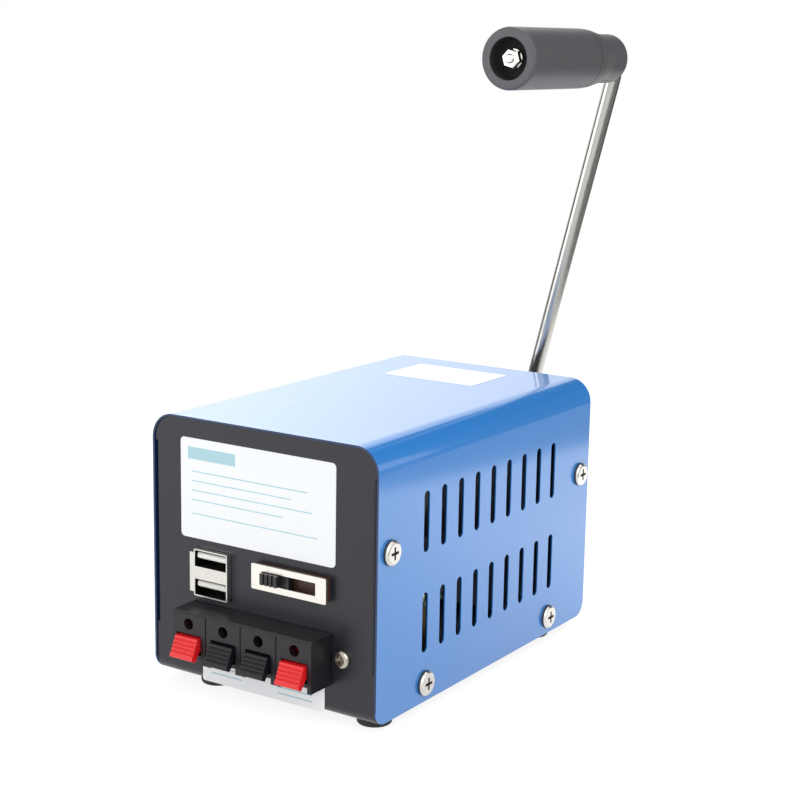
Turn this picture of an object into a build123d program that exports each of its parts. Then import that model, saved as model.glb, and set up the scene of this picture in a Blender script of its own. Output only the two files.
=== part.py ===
from build123d import *
import math
import os

# Hand crank charger: a folded steel chassis under a folded steel cover, a bent rod crank with a
# revolving grip, a spur gear train, a small direct current generator and a charging board.
# Millimetres. X runs across the front panel, Y from front to back and Z up. The origin is the middle
# of the housing's footprint, on the plane that the four feet stand on.

# Housing sheets
housing_w = 85.0            # across the cover
housing_l = 130.0           # front edge to rear edge of the cover
housing_h = 84.2            # bottom edge to top of the cover
cover_t = 0.7
cover_bend_r = 8.0          # outside radius of the two long top bends
cover_corner_r = 5.0        # rounded bottom corners of the cover's sides
chassis_t = 1.2
chassis_bend_r = 4.0        # outside radius under the front and rear panels
flange_bend_r = 1.4
flange_depth = 12.0         # return flanges of the panels and of the floor
flange_top_relief = 1.0     # between the panels' flanges and their rounded top corners
flange_bottom_relief = 3.0  # between the panels' flanges and the floor's upturned edges
sheet_gap = 0.15            # between the cover and the chassis inside it
panel_recess = 0.4          # the panels lie this far inside the cover's edges
foot_h = 3.0
foot_r = 5.4
foot_edge_r = 0.8

# Vents, in two rows on each side
vent_columns = 9
vent_pitch = 9.78
vent_w = 3.0
vent_len = 19.0
vent_rows = (25.5, 57.2)    # middle heights above the cover's bottom edge

# Cover screws, four on each side: (distance in from the housing's end, height above the bottom edge)
panel_screw_place = (6.6, 52.1)     # into the panels' return flanges
floor_screw_place = (26.4, 6.1)     # into the floor's upturned edges
floor_flange_margin = 5.0           # of the floor's upturned edges past their screws
cover_screw_r = 2.0
cover_screw_len = 6.0
cover_head_r = 3.9
cover_head_h = 1.6
screw_clearance = 0.15      # radial, in a hole that a screw passes through
thread_clearance = 0.03     # radial, in a hole that a screw bites in
recess_w = 0.9              # cross recess in a screw head

# Feet, as they are stuck on: (side, end, distance in from the side, distance in from the end)
foot_places = ((1, -1, 7.5, 10.5), (1, 1, 8.0, 22.0), (-1, -1, 18.0, 9.5), (-1, 1, 8.5, 19.0))

# Front panel: places are (x, height above the bottom edge) of each piece's middle
usb_at = (-18.3, 35.9)
usb_w = 13.1
usb_h = 15.0
usb_len = 18.0
usb_proud = 2.1
usb_wall = 0.4
usb_socket_h = 5.1
usb_corner_r = 0.5
usb_lip_w = 1.6
usb_lip_h = 12.6
usb_tongue_t = 1.9
usb_tongue_w = 11.1
usb_tongue_len = 8.9
usb_tongue_gap = 0.75       # above the tongue in its socket
usb_block_depth = 9.6       # the insulator's rear block starts this far behind the mouth
usb_blade_count = 4
usb_blade_pitch = 2.3
usb_blade_w = 1.0
usb_blade_t = 0.2
usb_blade_setback = 0.9     # from the tongue's edge
cutout_clearance = 0.1      # around a rectangular piece in the front panel

switch_at = (12.15, 39.3)
switch_w = 27.7
switch_h = 7.9
switch_proud = 2.9
switch_plate_t = 0.8
switch_slot_w = 20.0
switch_slot_h = 4.0
switch_base_depth = 8.0     # behind the front panel's face
switch_groove_w = 25.8
switch_groove_h = 5.4
switch_groove_depth = 2.7
carrier_w = 12.2
carrier_clearance = 0.15
knob_w = 6.3
knob_proud = 1.5
knob_clearance = 0.25
knob_inset = 0.4            # from the slot's end
knob_grooves = 3
knob_groove_w = 0.7
knob_groove_depth = 0.5
lug_w = 1.2
lug_len = 4.0
lug_t = 0.6
lug_pitch = (6.0, 3.6)      # along the switch, and between its two rows

# Spring terminals
cell_count = 4
cell_pitch = 13.4
cell_w = 9.6
terminal_z = (9.9, 25.9)    # bottom and top of the block above the cover's bottom edge
terminal_end_wall = 1.4
terminal_proud = 10.4
terminal_flange_t = 2.0
terminal_flange_w = 69.0
terminal_flange_lip = 0.5
wire_hole_r = 1.8
wire_hole_z = 22.2
chamber_front = 7.6         # distance out from the panel of the inner face behind the wire holes
chamber_z = (11.1, 24.6)
lever_slot_top = 19.0
cell_groove_w = 0.4
cell_groove_depth = 0.3
lever_w = 8.8
lever_pivot = (6.4, 17.0)   # (distance out from the panel, height)
lever_outline = (           # the thumb tab's top and tip first, then round under the pivot to the arm
    (11.6, 18.3),
    (14.4, 12.2),
    (12.7, 11.3),
    (10.4, 14.4),
    (6.4, 15.2),
    (4.6, 16.6),
    (4.4, 17.8),
    (3.7, 23.4),
    (5.1, 23.6),
    (6.3, 18.7),
    (7.4, 18.5),
)
lever_rib_count = 4
lever_rib_r = 0.35
lever_pin_r = 1.2
lever_pin_reach = 0.7
pin_clearance = 0.05
lever_rib_pitch = 1.25
panel_screw_x = 30.4
panel_screw_z = 18.9
panel_screw_r = 1.5
panel_head_r = 2.8
panel_head_h = 1.9
panel_nut_af = 5.5
panel_nut_h = 2.4
panel_screw_end = 1.0       # of each screw past its nut
tag_w = 4.6
tag_t = 0.5
tag_len = 5.0
tag_z = 17.0
contact_z = (13.0, 22.6)    # foot and top of each spring strip
contact_tip = (3.4, 20.2)   # free end of the strip: (distance out from the panel, height)
insulator_t = 1.0
insulator_inset = 0.5

# Crank
shaft_r = 5.0
running_clearance = 0.05    # radial
axial_clearance = 0.3
rod_r = 2.7
rod_offset = 20.1           # from the rear panel to the plane of the rod's leaning leg
rod_bend_r = 7.5
rod_engagement = 16.0       # length of rod held in the shaft's bore
throw = 155.3               # from the shaft's axis to the grip's axis
crank_lean = 14.1           # degrees from upright, towards +X, as it is stored
hub_r = 9.0
hub_len = 8.5
grip_r = 9.7
grip_neck_r = 8.1
# Distances forward of the rod's plane along the grip
grip_reach = 75.3           # to its outer end
grip_seam_reach = 30.7
neck_taper_reach = 18.2
neck_reach = 8.5            # to the end of the neck where the rod comes out
neck_edge = 0.8
neck_shoulder = (4.0, 0.25) # length and drop of the neck's first, slower taper
grip_recess_r = 6.65
grip_recess_depth = 4.4
grip_edge_r = 1.0
stud_r = 1.5
stud_inset = 0.5            # from the grip's outer end to the stud's
grip_nut_af = 5.5
grip_nut_h = 2.4
grip_washer_r = 3.0
grip_washer_t = 0.5

# Gear train, between two plates on the rear panel
plate_side_gap = 1.0        # between the plates' edges and the tips of the cover screws
plate_t = 2.0
plate_corner_r = 4.0
plate_bottom = 4.0          # above the cover's bottom edge
plate_top_gap = 6.2         # below the cover's top
front_plate_t = 3.0
plate_spacing = 19.9        # between the plates' inner faces
post_r = 3.5
post_side_inset = 4.5
post_top_inset = 6.0
post_bottom_inset = 5.0
middle_post_x = -1.0
post_screw_r = 2.0
post_screw_len = 8.0
pressure_angle = 20.0
gear_addendum = 0.75        # of the larger gears, in modules
pinion_addendum = 1.0
gear_dedendum = 1.25
pinion_dedendum = 1.0
gear_backlash = 0.2
first_module = 1.0
second_module = 0.8
crank_teeth = 48
pinion_teeth = 12
second_teeth = 40
gear_rear_gap = 3.4         # between the rear plate and the first pair of gears
gear_front_gap = 2.5        # between the front plate and the second pair
first_gear_w = 6.0
second_gear_w = 4.0
gear_mesh_overlap = 0.5     # the pinions are wider than their gears by this at each side
motor_angle = 80.0          # direction from the layshaft to the generator
motor_screw_angle = 125.0   # direction of the line through the generator's two screws
layshaft_r = 2.0
gear_hub_r = 5.0
gear_end_hub_r = 4.0        # of the compound gear's ends, which face the plates
shaft_hub_r = 8.0
shaft_hub_len = 5.0
spacer_wall = 2.0
gear_web_r = 19.5
web_t = 3.0
lightening_holes = 6
lightening_r = 3.6
bush_r = 7.5
bush_flange_r = 9.0
bush_flange_t = 1.5

# Generator
motor_r = 18.0
motor_len = 52.0
motor_shaft_r = 1.585
motor_boss_r = 5.0
motor_cap_len = 4.0
motor_cap_boss_len = 1.5
motor_screw_pcd = 25.0
motor_screw_r = 1.5
motor_screw_head_h = 1.6
motor_tag_gap = 16.0
motor_tag_size = (0.8, 4.5, 4.8)
motor_boss_len = 2.5
motor_edge_r = 1.5

# Charging board, between the front panel and the generator
board_side_gap = 4.15       # between the board and the panels' return flanges
board_front_gap = 3.0
board_rear_gap = 1.0
board_t = 1.6
standoff_r = 2.8
standoff_inset = (4.0, 6.0) # from the board's sides and from its ends
spigot_r = 2.1              # of the standoffs' ends that are riveted into the floor
board_screw_len = 6.0
# (distance from the board's -X edge, distance from its rear edge, radius, height)
cap_sizes = ((13.0, 9.0, 5.0, 16.0), (24.0, 9.0, 4.0, 12.0))
cap_edge_r = 0.6
coil_x = 1.0                # half way along the board
coil_r = 6.0
coil_core_r = 2.0
heatsink_at = (16.5, 8.0)   # (distance from the board's +X edge, distance from its rear edge)
heatsink_size = (16.0, 11.0, 14.0)
heatsink_fins = 5
heatsink_base_t = 2.5
regulator_w = 10.0
regulator_t = 4.4
regulator_tab_t = 1.2
regulator_z = (3.0, 12.0)   # body, above the board
leg_w = 0.8
leg_t = 0.6
leg_pitch = 2.5
leg_setback = 2.0           # from the tab's face
bridge_size = (11.0, 4.0, 6.0)
bridge_at = (22.0, 4.0)     # (distance from the board's +X edge, distance from its front edge)

# Planes and places that follow from the sizes above
base_z = foot_h
top_z = base_z + housing_h
half_w = housing_w / 2
half_l = housing_l / 2
inner_half_w = half_w - cover_t - sheet_gap
inner_top_z = top_z - cover_t - sheet_gap
panel_y = -half_l + panel_recess
panel_back_y = panel_y + chassis_t
rear_y = half_l - panel_recess
rear_inner_y = rear_y - chassis_t
floor_z = base_z + chassis_t
shaft_z = base_z + housing_h / 2
cell_xs = [(i - (cell_count - 1) / 2) * cell_pitch for i in range(cell_count)]
terminal_w = (cell_count - 1) * cell_pitch + cell_w + 2 * terminal_end_wall
cover_screw_places = [
    (end * (half_l - inset), height)
    for inset, height in (panel_screw_place, floor_screw_place)
    for end in (-1, 1)
]
rod_plane_y = rear_y + rod_offset
grip_front_y = rod_plane_y - grip_reach
grip_seam_y = rod_plane_y - grip_seam_reach
neck_taper_end_y = rod_plane_y - neck_taper_reach
neck_end_y = rod_plane_y - neck_reach
plate_w = housing_w - 2 * (cover_screw_len + plate_side_gap)
plate_z = (base_z + plate_bottom, top_z - plate_top_gap)
post_x = plate_w / 2 - post_side_inset
post_top_z = plate_z[1] - post_top_inset
post_bottom_z = plate_z[0] + post_bottom_inset
post_places = (
    (-post_x, post_top_z),
    (post_x, post_top_z),
    (post_x, post_bottom_z),
    (middle_post_x, post_bottom_z),
)
rear_plate_y = rear_inner_y - plate_t
front_plate_back_y = rear_plate_y - plate_spacing
front_plate_y = front_plate_back_y - front_plate_t
first_distance = first_module * (crank_teeth + pinion_teeth) / 2
second_distance = second_module * (second_teeth + pinion_teeth) / 2
# Direction from the shaft to the layshaft, whose wheel lies as far from the side wall as from the floor
layshaft_offset = (shaft_z - floor_z - inner_half_w) / first_distance
layshaft_angle = 225.0 + math.degrees(math.asin(layshaft_offset / math.sqrt(2)))
layshaft_x = first_distance * math.cos(math.radians(layshaft_angle))
layshaft_z = shaft_z + first_distance * math.sin(math.radians(layshaft_angle))
motor_x = layshaft_x + second_distance * math.cos(math.radians(motor_angle))
motor_z = layshaft_z + second_distance * math.sin(math.radians(motor_angle))
first_gear_y = rear_plate_y - gear_rear_gap - first_gear_w
second_gear_y = front_plate_back_y + gear_front_gap
motor_end_y = front_plate_y - motor_len
board_z = base_z + usb_at[1] - usb_h / 2
board_w = 2 * (inner_half_w - chassis_t - board_side_gap)
board_y0 = panel_back_y + board_front_gap
board_y1 = motor_end_y - motor_cap_len - motor_cap_boss_len - board_rear_gap
hub_y = rear_y + bush_flange_t + axial_clearance
grip_x = throw * math.sin(math.radians(crank_lean))
# Middle of the whole part's footprint, where the exported origin lies
centre_x = (grip_x + grip_r - half_w - cover_head_h) / 2
centre_y = (rod_plane_y + rod_r + panel_y - lever_outline[1][0]) / 2


def block(x0, x1, y0, y1, z0, z1):
    """A box between six planes."""
    return Pos((x0 + x1) / 2, (y0 + y1) / 2, (z0 + z1) / 2) * Box(x1 - x0, y1 - y0, z1 - z0)


def along_x(face, x0, x1):
    """Extrude a face drawn in Y and Z from x0 to x1."""
    return extrude(Plane.YZ.offset(x0) * face, x1 - x0)


def along_y(face, y0, y1):
    """Extrude a face drawn in X and Z from y0 to y1."""
    return extrude(Plane.XZ.offset(-y0) * face, y0 - y1)


def along_z(face, z0, z1):
    """Extrude a face drawn in X and Y from z0 to z1."""
    return extrude(Plane.XY.offset(z0) * face, z1 - z0)


def disc(r, x=0.0, y=0.0):
    return Pos(x, y) * Circle(r)


def rod_x(r, x0, x1, y, z):
    return along_x(disc(r, y, z), x0, x1)


def rod_y(r, y0, y1, x, z):
    return along_y(disc(r, x, z), y0, y1)


def rod_z(r, z0, z1, x, y):
    return along_z(disc(r, x, y), z0, z1)


def rounded_edges(solid, axis, r, side):
    """Round the edges along an axis that lie at the side given, -1 for the low end or 1 for the high."""
    return fillet(solid.edges().filter_by(axis).group_by(Axis.Z)[0 if side < 0 else -1], r)


def pan_screw(r, length, head_r, head_h):
    """A pan head screw that stands on Z = 0 with its shank down, and has a cross recess."""
    head = Pos(0, 0, head_h / 2) * Cylinder(head_r, head_h)
    head = fillet(head.edges().group_by(Axis.Z)[-1], head_h * 0.6)
    slot = block(-head_r / 2, head_r / 2, -recess_w / 2, recess_w / 2, head_h * 0.35, head_h + 1)
    shank = Pos(0, 0, -length / 2) * Cylinder(r, length)
    return head + shank - slot - Rot(0, 0, 90) * slot


def hex_nut(af, height, hole_r):
    """A hexagon nut that stands on Z = 0."""
    face = RegularPolygon(af / 2, 6, major_radius=False) - Circle(hole_r)
    return extrude(face, height)


def export(name, *solids):
    """Write one node, as one solid or as a group of separate solids, about the footprint's middle."""
    moved = [Pos(-centre_x, -centre_y, 0) * solid for solid in solids]
    shape = moved[0] if len(moved) == 1 else Compound(children=moved)
    export_step(shape, f"parts/{name}.step")


# Housing


def tunnel(width, z0, z1, bend_r, y0, y1):
    """A prism along Y with its two long top edges rounded."""
    prism = block(-width / 2, width / 2, y0, y1, z0, z1)
    return rounded_edges(prism, Axis.Y, bend_r, 1)


def vent_slots():
    slot = Rot(0, 0, 90) * SlotOverall(vent_len, vent_w)
    cutters = []
    for i in range(vent_columns):
        y = (i - (vent_columns - 1) / 2) * vent_pitch
        for height in vent_rows:
            cutters.append(along_x(Pos(y, base_z + height) * slot, -half_w - 1, half_w + 1))
    return cutters


def make_cover():
    shell = tunnel(housing_w, base_z, top_z, cover_bend_r, -half_l, half_l)
    inside_w = housing_w - 2 * cover_t
    shell -= tunnel(
        inside_w, base_z - 1, top_z - cover_t, cover_bend_r - cover_t, -half_l - 1, half_l + 1
    )
    shell = rounded_edges(shell, Axis.X, cover_corner_r, -1)
    shell -= vent_slots()
    holes = [
        rod_x(cover_screw_r + screw_clearance, -half_w - 1, half_w + 1, y, base_z + height)
        for y, height in cover_screw_places
    ]
    return shell - holes


def make_cover_screws():
    screw = pan_screw(cover_screw_r, cover_screw_len, cover_head_r, cover_head_h)
    screws = []
    for y, height in cover_screw_places:
        screws.append(Pos(half_w, y, base_z + height) * Rot(0, 90, 0) * screw)
        screws.append(Pos(-half_w, y, base_z + height) * Rot(0, -90, 0) * screw)
    return screws


def make_chassis():
    """Front panel, floor and rear panel in one folded sheet, with return flanges for the screws."""
    w = inner_half_w
    outer = block(-w, w, panel_y, rear_y, base_z, inner_top_z)
    outer = rounded_edges(outer, Axis.X, chassis_bend_r, -1)
    inner = block(-w - 1, w + 1, panel_back_y, rear_inner_y, floor_z, inner_top_z + 1)
    inner = rounded_edges(inner, Axis.X, chassis_bend_r - chassis_t, -1)
    panel_top_r = cover_bend_r - cover_t - sheet_gap
    sheet = (outer - inner) & tunnel(2 * w, base_z, inner_top_z, panel_top_r, panel_y, rear_y)
    flange_top = inner_top_z - panel_top_r - flange_top_relief
    flange_bottom = floor_z + flange_depth + flange_bottom_relief
    floor_end = half_l - floor_screw_place[0] + floor_flange_margin
    for side in (-1, 1):
        x0, x1 = sorted((side * (w - chassis_t), side * w))
        sheet += block(x0, x1, -floor_end, floor_end, base_z, floor_z + flange_depth)
        strip_x0, strip_x1 = sorted((side * (w - flange_bend_r), side * (w + 1)))
        sheet -= block(strip_x0, strip_x1, panel_y - 1, panel_back_y + 1, flange_bottom, flange_top)
        sheet -= block(strip_x0, strip_x1, rear_inner_y - 1, rear_y + 1, flange_bottom, flange_top)
    flanges = panel_flanges(flange_bottom, flange_top)
    sheet += Pos(0, panel_y, 0) * flanges
    sheet += Pos(0, rear_y, 0) * Rot(0, 0, 180) * flanges
    return sheet - chassis_holes()


def panel_flanges(z0, z1):
    """A panel with its two sides folded back, between two heights, with its face on Y = 0."""
    w = inner_half_w
    outer = block(-w, w, 0, flange_depth, z0, z1)
    outer = fillet(outer.edges().filter_by(Axis.Z).group_by(Axis.Y)[0], flange_bend_r)
    inner = block(chassis_t - w, w - chassis_t, chassis_t, flange_depth + 1, z0 - 1, z1 + 1)
    inner = fillet(inner.edges().filter_by(Axis.Z).group_by(Axis.Y)[0], flange_bend_r - chassis_t)
    return outer - inner


def chassis_holes():
    reach = 5.0
    front = (panel_y - reach, panel_back_y + reach)
    rear = (rear_inner_y - reach, rear_y + reach)
    holes = []
    for y, height in cover_screw_places:
        holes.append(
            rod_x(cover_screw_r + thread_clearance, -half_w, half_w, y, base_z + height)
        )
    around = 2 * cutout_clearance
    usb_hole = Pos(usb_at[0], base_z + usb_at[1]) * Rectangle(usb_w + around, usb_h + around)
    switch_hole = Pos(switch_at[0], base_z + switch_at[1]) * Rectangle(
        switch_body_w() + around, switch_body_h() + around
    )
    holes.append(along_y(usb_hole, *front))
    holes.append(along_y(switch_hole, *front))
    half = terminal_w / 2 + cutout_clearance
    z0 = base_z + terminal_z[0] - cutout_clearance
    z1 = base_z + terminal_z[1] + cutout_clearance
    holes.append(block(-half, half, *front, z0, z1))
    for x in (-panel_screw_x, panel_screw_x):
        hole_r = panel_screw_r + screw_clearance
        holes.append(rod_y(hole_r, *front, x, base_z + panel_screw_z))
    holes.append(rod_y(bush_r + thread_clearance, *rear, 0, shaft_z))
    for x, z in post_places:
        holes.append(rod_y(post_screw_r + screw_clearance, *rear, x, z))
    for x, y in standoff_places():
        holes.append(rod_z(spigot_r, base_z - 1, floor_z + 1, x, y))
    return holes


def make_feet():
    feet = []
    for side, end, side_inset, end_inset in foot_places:
        x = side * (half_w - side_inset)
        y = end * (half_l - end_inset)
        foot = Pos(x, y, foot_h / 2) * Cylinder(foot_r, foot_h)
        feet.append(fillet(foot.edges().group_by(Axis.Z)[0], foot_edge_r))
    return feet


# USB sockets


def usb_socket_heights():
    """Middle heights of the two sockets, which leave a band between them."""
    spread = usb_h / 2 - usb_wall - usb_socket_h / 2
    return [base_z + usb_at[1] + side * spread for side in (-1, 1)]


def make_usb_shell():
    x, z = usb_at[0], base_z + usb_at[1]
    y0 = panel_y - usb_proud
    y1 = y0 + usb_len
    shell = block(x - usb_w / 2, x + usb_w / 2, y0, y1, z - usb_h / 2, z + usb_h / 2)
    shell = fillet(shell.edges().filter_by(Axis.Y), usb_corner_r)
    half_lip = usb_lip_h / 2
    lip_x = x - usb_w / 2
    shell += block(lip_x - usb_lip_w, lip_x + usb_wall, y0, y0 + usb_wall, z - half_lip, z + half_lip)
    for height in usb_socket_heights():
        shell -= block(
            x - usb_w / 2 + usb_wall,
            x + usb_w / 2 - usb_wall,
            y0 - 1,
            y1 + 1,
            height - usb_socket_h / 2,
            height + usb_socket_h / 2,
        )
    return shell


def make_usb_insulators():
    """The tongue in each socket, with the block behind it that fills the shell."""
    x = usb_at[0]
    y0 = panel_y - usb_proud
    half = usb_w / 2 - usb_wall
    pieces = []
    for height in usb_socket_heights():
        z0 = height - usb_socket_h / 2
        z1 = height + usb_socket_h / 2
        body = block(x - half, x + half, y0 + usb_block_depth, y0 + usb_len, z0, z1)
        tongue_z = z1 - usb_tongue_gap - usb_tongue_t
        tongue = block(
            x - usb_tongue_w / 2,
            x + usb_tongue_w / 2,
            y0 + usb_block_depth - usb_tongue_len,
            y0 + usb_block_depth,
            tongue_z,
            tongue_z + usb_tongue_t,
        )
        lip = tongue.edges().filter_by(Axis.X).group_by(Axis.Y)[0]
        pieces.append(body + chamfer(lip, 0.4))
    return pieces


def make_usb_contacts():
    """The blades on the underside of each tongue."""
    x = usb_at[0]
    y0 = panel_y - usb_proud + usb_block_depth - usb_tongue_len
    blades = []
    for height in usb_socket_heights():
        z1 = height + usb_socket_h / 2 - usb_tongue_gap - usb_tongue_t
        for i in range(usb_blade_count):
            x0 = x + (i - (usb_blade_count - 1) / 2) * usb_blade_pitch - usb_blade_w / 2
            y1 = y0 + usb_tongue_len
            blades.append(
                block(x0, x0 + usb_blade_w, y0 + usb_blade_setback, y1, z1 - usb_blade_t, z1)
            )
    return blades


# Slide switch


def switch_body_w():
    return switch_w - 1.0


def switch_body_h():
    return switch_h - 0.6


def make_switch_base():
    x, z = switch_at[0], base_z + switch_at[1]
    front_y = panel_y - switch_proud + switch_plate_t
    half_bw = switch_body_w() / 2
    half_bh = switch_body_h() / 2
    body = block(
        x - half_bw, x + half_bw, front_y, panel_y + switch_base_depth, z - half_bh, z + half_bh
    )
    return body - block(
        x - switch_groove_w / 2,
        x + switch_groove_w / 2,
        front_y - 1,
        front_y + switch_groove_depth,
        z - switch_groove_h / 2,
        z + switch_groove_h / 2,
    )


def make_switch_plate():
    x, z = switch_at[0], base_z + switch_at[1]
    face = Rectangle(switch_w, switch_h)
    face = fillet(face.vertices(), 0.5)
    face -= Rectangle(switch_slot_w, switch_slot_h)
    y0 = panel_y - switch_proud
    return along_y(Pos(x, z) * face, y0, y0 + switch_plate_t)


def slider_travel():
    return switch_groove_w - carrier_w - 2 * carrier_clearance


def make_slider():
    """The carrier that runs in the base's groove, and the ribbed knob that stands out of the slot."""
    x, z = switch_at[0], base_z + switch_at[1]
    front_y = panel_y - switch_proud
    plate_back = front_y + switch_plate_t
    x0 = x - switch_groove_w / 2 + carrier_clearance
    carrier = block(
        x0,
        x0 + carrier_w,
        plate_back + carrier_clearance,
        plate_back + switch_groove_depth - carrier_clearance,
        z - switch_groove_h / 2 + carrier_clearance,
        z + switch_groove_h / 2 - carrier_clearance,
    )
    knob_x = x - switch_slot_w / 2 + knob_inset
    half_kh = switch_slot_h / 2 - knob_clearance
    knob = block(
        knob_x,
        knob_x + knob_w,
        front_y - knob_proud,
        plate_back + carrier_clearance,
        z - half_kh,
        z + half_kh,
    )
    face_y = front_y - knob_proud
    for i in range(knob_grooves):
        gx = knob_x + knob_w * (i + 1) / (knob_grooves + 1) - knob_groove_w / 2
        groove_y = (face_y - 1, face_y + knob_groove_depth)
        knob -= block(gx, gx + knob_groove_w, *groove_y, z - half_kh - 1, z + half_kh + 1)
    return carrier + knob


def make_switch_lugs():
    x, z = switch_at[0], base_z + switch_at[1]
    y0 = panel_y + switch_base_depth
    lugs = []
    for i in range(3):
        for side in (-1, 1):
            lx = x + (i - 1) * lug_pitch[0]
            lz = z + side * lug_pitch[1] / 2
            lugs.append(
                block(lx - lug_w / 2, lx + lug_w / 2, y0, y0 + lug_len, lz - lug_t / 2, lz + lug_t / 2)
            )
    return lugs


# Spring terminals


def out_y(distance):
    """Y of a place that lies this far out from the front panel's face."""
    return panel_y - distance


def profile(points):
    """A face in Y and Z from (distance out from the panel, height above the bottom edge) pairs."""
    return make_face(Polyline(*[(out_y(o), base_z + h) for o, h in points], close=True))


def make_terminal_block():
    z0, z1 = (base_z + h for h in terminal_z)
    half = terminal_w / 2
    back_y = panel_back_y
    body = block(-half, half, out_y(terminal_proud), back_y, z0, z1)
    body = chamfer(body.edges().filter_by(Axis.X).group_by(Axis.Y)[0].sort_by(Axis.Z)[-1], 0.8)
    lip = terminal_flange_lip
    body += block(
        -terminal_flange_w / 2,
        terminal_flange_w / 2,
        back_y,
        back_y + terminal_flange_t,
        z0 - lip,
        z1 + lip,
    )
    chamber_z0, chamber_z1 = (base_z + h for h in chamber_z)
    slot_top = base_z + lever_slot_top
    for x in cell_xs:
        x0, x1 = x - cell_w / 2, x + cell_w / 2
        body -= block(x0, x1, out_y(chamber_front), back_y + 9, chamber_z0, chamber_z1)
        body -= block(x0, x1, out_y(terminal_proud + 1), out_y(chamber_front - 1), z0 - 1, slot_top)
        body -= rod_y(wire_hole_r, out_y(terminal_proud + 1), out_y(0), x, base_z + wire_hole_z)
        body -= rod_x(
            lever_pin_r + pin_clearance,
            x0 - lever_pin_reach - 0.1,
            x1 + lever_pin_reach + 0.1,
            out_y(lever_pivot[0]),
            base_z + lever_pivot[1],
        )
    groove = (out_y(terminal_proud + 1), out_y(terminal_proud - cell_groove_depth))
    for x in cell_xs[1:]:
        middle = x - cell_pitch / 2
        body -= block(middle - cell_groove_w / 2, middle + cell_groove_w / 2, *groove, z0 - 1, z1 + 1)
    for x in (-panel_screw_x, panel_screw_x):
        body -= rod_y(
            panel_screw_r + screw_clearance, back_y - 1, back_y + 9, x, base_z + panel_screw_z
        )
    return body


def make_lever(x):
    """A bell crank: a ribbed thumb tab outside, and an arm behind the wire hole inside."""
    lever = along_x(profile(lever_outline), x - lever_w / 2, x + lever_w / 2)
    lever += rod_x(
        lever_pin_r,
        x - cell_w / 2 - lever_pin_reach,
        x + cell_w / 2 + lever_pin_reach,
        out_y(lever_pivot[0]),
        base_z + lever_pivot[1],
    )
    tab_top, tab_tip = lever_outline[0], lever_outline[1]
    length = math.dist(tab_top, tab_tip)
    slope = ((tab_tip[0] - tab_top[0]) / length, (tab_tip[1] - tab_top[1]) / length)
    for i in range(lever_rib_count):
        along = (i + 0.9) * lever_rib_pitch
        o = tab_top[0] + slope[0] * along
        h = tab_top[1] + slope[1] * along
        lever -= rod_x(lever_rib_r, x - lever_w, x + lever_w, out_y(o), base_z + h)
    return lever


def make_terminal_contacts():
    """A bent spring strip in each cell, whose tag comes out through the insulating plate."""
    back = -chassis_t - terminal_flange_t
    foot, top = contact_z
    tip_o, tip_h = contact_tip
    strip = profile([
        (back, foot),
        (back + tag_t, foot),
        (back + tag_t, top - tag_t),
        (tip_o, tip_h - tag_t / 2),
        (tip_o, tip_h + tag_t / 2),
        (back + tag_t, top),
        (back, top),
    ])
    tag_end = back - insulator_t - tag_len
    tag = profile([(back, tag_z), (tag_end, tag_z), (tag_end, tag_z + tag_t), (back, tag_z + tag_t)])
    contacts = []
    for x in cell_xs:
        strip_part = along_x(strip, x - tag_w / 2, x + tag_w / 2)
        contacts.append(strip_part + along_x(tag, x - tag_w / 3, x + tag_w / 3))
    return contacts


def make_terminal_plate():
    """The insulating plate that closes the block's back, with a slot for each tag."""
    y0 = panel_back_y + terminal_flange_t
    z0, z1 = (base_z + h for h in terminal_z)
    half = terminal_w / 2 - insulator_inset
    plate = block(-half, half, y0, y0 + insulator_t, z0 + insulator_inset, z1 - insulator_inset)
    slot_z = base_z + tag_z
    for x in cell_xs:
        plate -= block(x - tag_w / 3, x + tag_w / 3, y0 - 1, y0 + 9, slot_z, slot_z + tag_t)
    return plate


def make_panel_screws():
    length = chassis_t + terminal_flange_t + panel_nut_h + panel_screw_end
    screw = pan_screw(panel_screw_r, length, panel_head_r, panel_head_h)
    z = base_z + panel_screw_z
    return [Pos(x, panel_y, z) * Rot(90, 0, 0) * screw for x in (-panel_screw_x, panel_screw_x)]


def make_panel_nuts():
    nut = hex_nut(panel_nut_af, panel_nut_h, panel_screw_r + thread_clearance)
    y = panel_back_y + terminal_flange_t
    z = base_z + panel_screw_z
    return [Pos(x, y, z) * Rot(-90, 0, 0) * nut for x in (-panel_screw_x, panel_screw_x)]


# Crank


def lean(shape):
    """Turn a shape that is drawn upright about the shaft's axis to the stored angle of the crank."""
    return Pos(0, 0, shaft_z) * Rot(0, crank_lean, 0) * shape


def make_crank_shaft():
    y0 = front_plate_y + 0.5
    y1 = hub_y + hub_len
    shaft = rod_y(shaft_r, y0, y1, 0, 0)
    shaft -= rod_y(rod_r + thread_clearance, y1 - rod_engagement, y1 + 1, 0, 0)
    shaft -= rod_z(stud_r + thread_clearance, 0, hub_r + 1, 0, hub_y + hub_len / 2)
    return lean(shaft)


def make_crank_hub():
    hub = rod_y(hub_r, hub_y, hub_y + hub_len, 0, 0)
    hub = chamfer(hub.edges().filter_by(GeomType.CIRCLE), 0.6)
    hub -= rod_y(shaft_r, hub_y - 1, hub_y + hub_len + 1, 0, 0)
    hub -= rod_z(stud_r + thread_clearance, 0, hub_r + 1, 0, hub_y + hub_len / 2)
    return lean(hub)


def make_hub_screw():
    """A headless set screw that reaches through the hub and the shaft's wall to the rod."""
    y = hub_y + hub_len / 2
    screw = rod_z(stud_r, rod_r, hub_r - 0.6, 0, y)
    socket = RegularPolygon(1.0, 6, major_radius=False)
    screw -= along_z(Pos(0, y) * socket, hub_r - 2.6, hub_r)
    return lean(screw)


def grip_floor_y():
    """Floor of the recess in the grip's outer end, where the spindle's shoulder stands proud."""
    return grip_front_y + grip_recess_depth


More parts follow.
